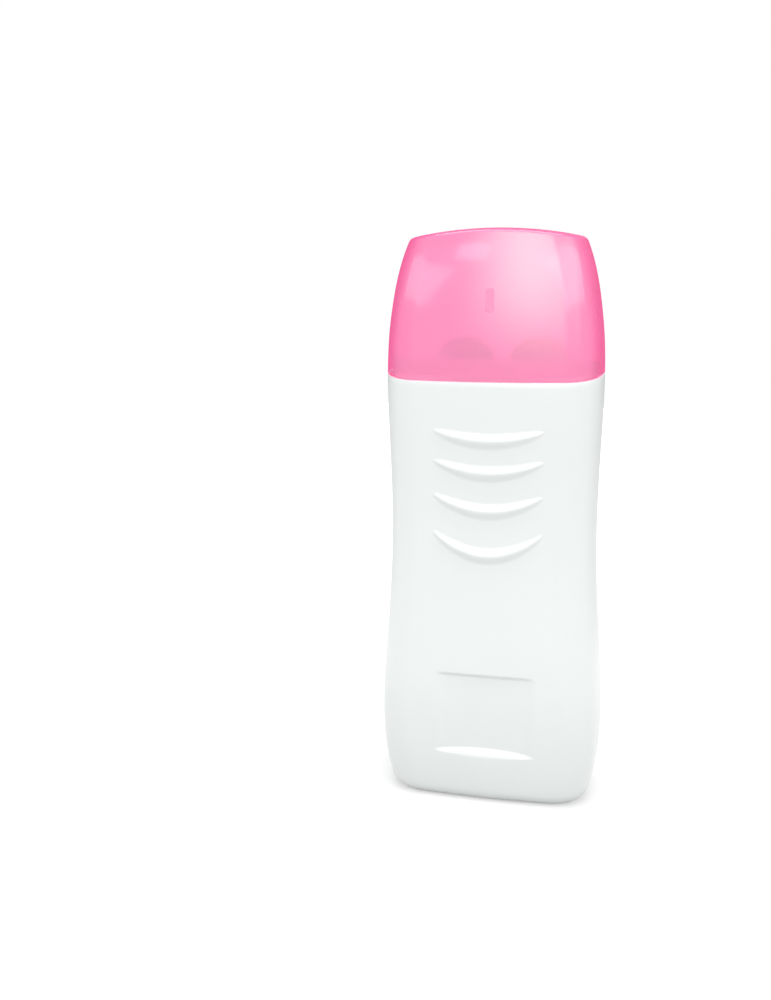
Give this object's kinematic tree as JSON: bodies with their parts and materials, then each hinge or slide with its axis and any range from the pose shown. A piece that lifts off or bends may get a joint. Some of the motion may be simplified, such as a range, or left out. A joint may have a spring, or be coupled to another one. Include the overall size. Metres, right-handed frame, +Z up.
{
  "type": "roll-on wax heater",
  "caption": "Upright hand-held wax cartridge heater with a waisted two-part shell, smile-shaped grip ribs, a side level window and a translucent pull-off cap.",
  "frame": {"origin": "centre of the foot, on the surface it stands on", "axes": "+Z up, -Y towards the ribbed front face, -X towards the level window and the cord gland"},
  "size_m": [0.0794, 0.0526, 0.205],
  "materials": {
    "white_shell": "glossy moulded white",
    "pink_cap": "clear tinted pink, polished",
    "smoke_window": "clear smoke tint, polished",
    "white_neck": "moulded white",
    "sleeve_aluminium": "drawn, satin",
    "plate_aluminium": "rolled, satin",
    "spring_steel": "bright rolled strip",
    "screw_steel": "zinc plated",
    "rest_plastic": "heat resistant, matt",
    "amber_film": "polyimide film",
    "contact_brass": "rolled sheet",
    "ptc_ceramic": "sintered, dull",
    "thermostat_phenolic": "moulded phenolic",
    "fuse_metal": "plated can",
    "gland_plastic": "moulded, fine matt",
    "block_plastic": "moulded",
    "board_laminate": "phenolic paper laminate",
    "lamp_lens": "clear red lens",
    "resistor_ceramic": "lacquered",
    "live_insulation": "silicone insulation",
    "neutral_insulation": "silicone insulation",
    "lamp_insulation": "silicone insulation"
  },
  "bodies": {
    "housing": {"front_shell": "white_shell", "rear_shell": "white_shell", "level_window": "smoke_window", "neck_collar": "white_neck", "heating_sleeve": "sleeve_aluminium", "cartridge_springs": "spring_steel", "cartridge_rest": "rest_plastic", "inner_film": "amber_film", "inner_electrode": "contact_brass", "ptc_stones": "ptc_ceramic", "outer_electrode": "contact_brass", "outer_film": "amber_film", "clamp_plate": "plate_aluminium", "clamp_rivets": "plate_aluminium", "thermostat": "thermostat_phenolic", "thermal_fuse": "fuse_metal", "sensor_straps": "spring_steel", "cord_gland": "gland_plastic", "terminal_block": "block_plastic", "lamp_board": "board_laminate", "pilot_lamp": "lamp_lens", "dropper_resistor": "resistor_ceramic", "case_screws": "screw_steel", "live_lead": "live_insulation", "neutral_lead": "neutral_insulation", "link_lead": "live_insulation", "heater_lead": "live_insulation", "lamp_leads": "lamp_insulation"},
    "cap": {"cap": "pink_cap"}
  },
  "joints": [
    {"name": "cap_lift", "type": "slide", "parent": "housing", "child": "cap", "axis": [0, 0, 1], "range_m": [0, 0.06]}
  ]
}
